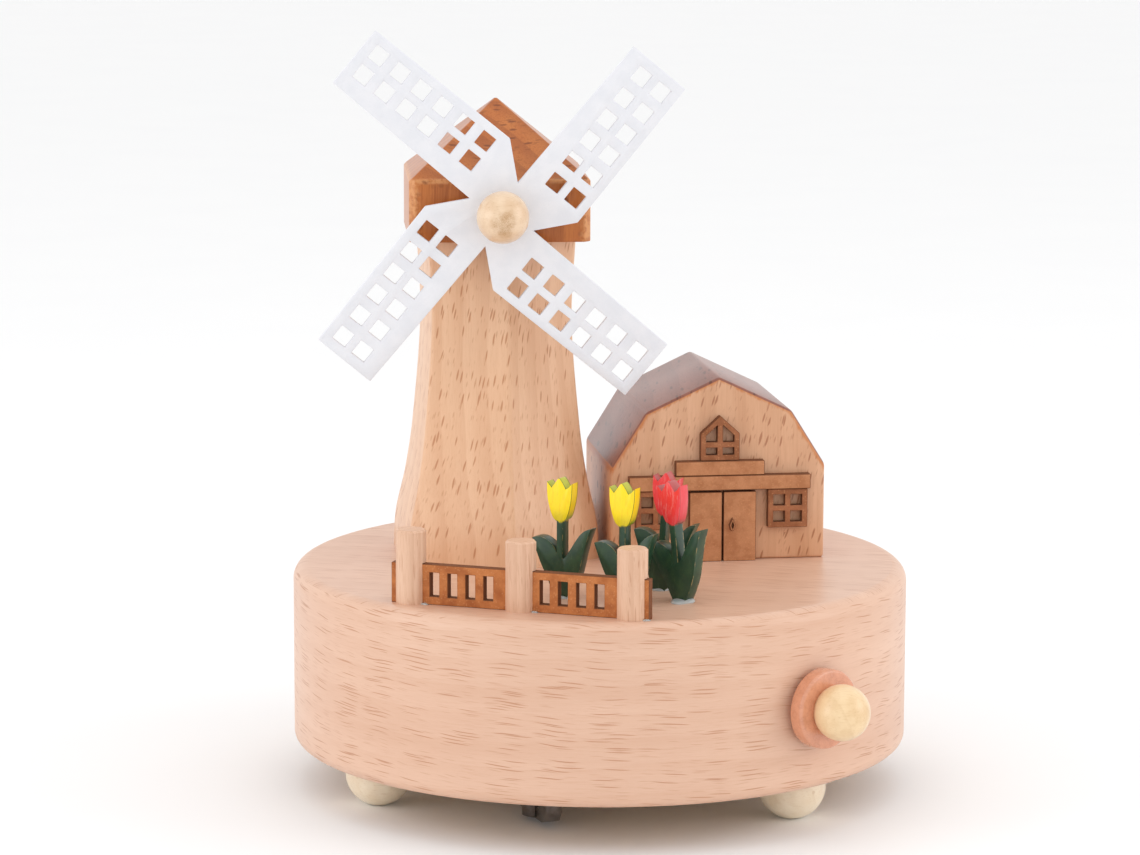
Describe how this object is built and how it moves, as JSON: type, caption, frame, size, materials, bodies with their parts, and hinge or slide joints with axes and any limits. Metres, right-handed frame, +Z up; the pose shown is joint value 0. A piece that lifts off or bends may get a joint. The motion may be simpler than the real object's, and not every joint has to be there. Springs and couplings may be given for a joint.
{
  "type": "wind-up music box with windmill",
  "caption": "Tabletop wooden music box: round drum on ball feet carrying a windmill whose sails the spring movement turns, a barn, a picket fence and cut-out tulips.",
  "frame": {"origin": "on the surface the feet stand on, at the axis of the round drum", "axes": "+Z up, sails and barn doors face -Y, +X to the right seen from the front"},
  "size_m": [0.12, 0.12, 0.1483],
  "materials": {
    "beech": "fine sanded, clear lacquer",
    "birch": "sanded, clear lacquer",
    "stained": "brown stain, lacquered",
    "plywood": "laser cut, toasted edges",
    "lid_wood": "plain sanded plywood",
    "white": "white paint on thin plywood",
    "yellow": "yellow and green paint",
    "red": "red and green paint",
    "pink": "glossy",
    "steel": "bright",
    "chromed": "polished",
    "brass": "polished",
    "iron": "grey"
  },
  "bodies": {
    "stand": {"drum_base": "beech", "bottom_lid": "lid_wood", "wood_screws": "steel", "foot_front_left": "birch", "foot_front_right": "birch", "foot_rear_right": "birch", "foot_rear_left": "birch", "tower": "beech", "tower_cap": "stained", "sail_bush": "brass", "shaft_bush_lower": "brass", "shaft_bush_upper": "brass", "idler_post": "steel", "tune_frame": "steel", "movement_plate": "iron", "fan_bracket": "steel", "comb": "steel", "comb_base": "iron", "movement_screws": "steel", "knob_bush": "brass", "barn_block": "beech", "barn_door_left": "plywood", "barn_door_right": "plywood", "barn_door_band": "plywood", "barn_gable_lintel": "plywood", "barn_window_left": "plywood", "barn_window_right": "plywood", "barn_gable_window": "plywood", "fence_panel": "plywood", "fence_post_left": "birch", "fence_post_middle": "birch", "fence_post_right": "birch", "tulip_yellow_left": "yellow", "tulip_yellow_right": "yellow", "tulip_red_front": "red", "tulip_red_rear": "red"},
    "barrel": {"spring_barrel": "brass", "mainspring": "steel"},
    "tune": {"tune_cylinder": "brass", "tune_arbor": "steel", "drive_pinion": "brass", "fan_crown_wheel": "brass"},
    "air_brake": {"fan_arbor": "steel", "air_brake_fan": "steel"},
    "idler": {"idler_wheel": "brass"},
    "tower_drive": {"tower_shaft": "steel", "shaft_wheel": "brass", "sail_crown_wheel": "brass"},
    "sails": {"sail_rotor": "white", "sail_axle": "steel", "sail_spacer": "steel", "sail_hub_ball": "birch", "sail_pinion": "brass"},
    "key": {"winding_arbor": "steel", "winding_key": "chromed"},
    "knob": {"knob_spindle": "steel", "knob_disc": "pink", "knob_ball": "birch", "stop_arm": "steel"}
  },
  "joints": [
    {"name": "barrel_spin", "type": "hinge", "parent": "stand", "child": "barrel", "pos_m": [-0.014, -0.0308, 0.018], "axis": [0, 0, 1], "continuous": true},
    {"name": "tune_spin", "type": "hinge", "parent": "stand", "child": "tune", "pos_m": [0.015, -0.0308, 0.02688], "axis": [1, 0, 0], "continuous": true},
    {"name": "air_brake_spin", "type": "hinge", "parent": "stand", "child": "air_brake", "pos_m": [0.02646, -0.0308, 0.018], "axis": [0, 0, 1], "continuous": true},
    {"name": "idler_spin", "type": "hinge", "parent": "stand", "child": "idler", "pos_m": [-0.02395, -0.01073, 0.016], "axis": [0, 0, 1], "continuous": true},
    {"name": "tower_drive_spin", "type": "hinge", "parent": "stand", "child": "tower_drive", "pos_m": [-0.0199, 0.0113, 0.06], "axis": [0, 0, 1], "continuous": true},
    {"name": "sails_spin", "type": "hinge", "parent": "stand", "child": "sails", "pos_m": [-0.0199, -0.009, 0.1133], "axis": [0, -1, 0], "continuous": true},
    {"name": "key_turn", "type": "hinge", "parent": "stand", "child": "key", "pos_m": [-0.014, -0.0308, 0.005], "axis": [0, 0, 1], "continuous": true},
    {"name": "stop_knob_turn", "type": "hinge", "parent": "stand", "child": "knob", "pos_m": [0.03774, -0.04919, 0.0252], "axis": [0.6088, -0.7934, 0], "range_deg": [-60, 0]}
  ],
  "couplings": [
    {"joint": "tune_spin", "follows": "barrel_spin", "ratio": 2.8},
    {"joint": "air_brake_spin", "follows": "barrel_spin", "ratio": -7},
    {"joint": "idler_spin", "follows": "barrel_spin", "ratio": -1.1538},
    {"joint": "tower_drive_spin", "follows": "barrel_spin", "ratio": 1},
    {"joint": "sails_spin", "follows": "barrel_spin", "ratio": 2.5}
  ]
}
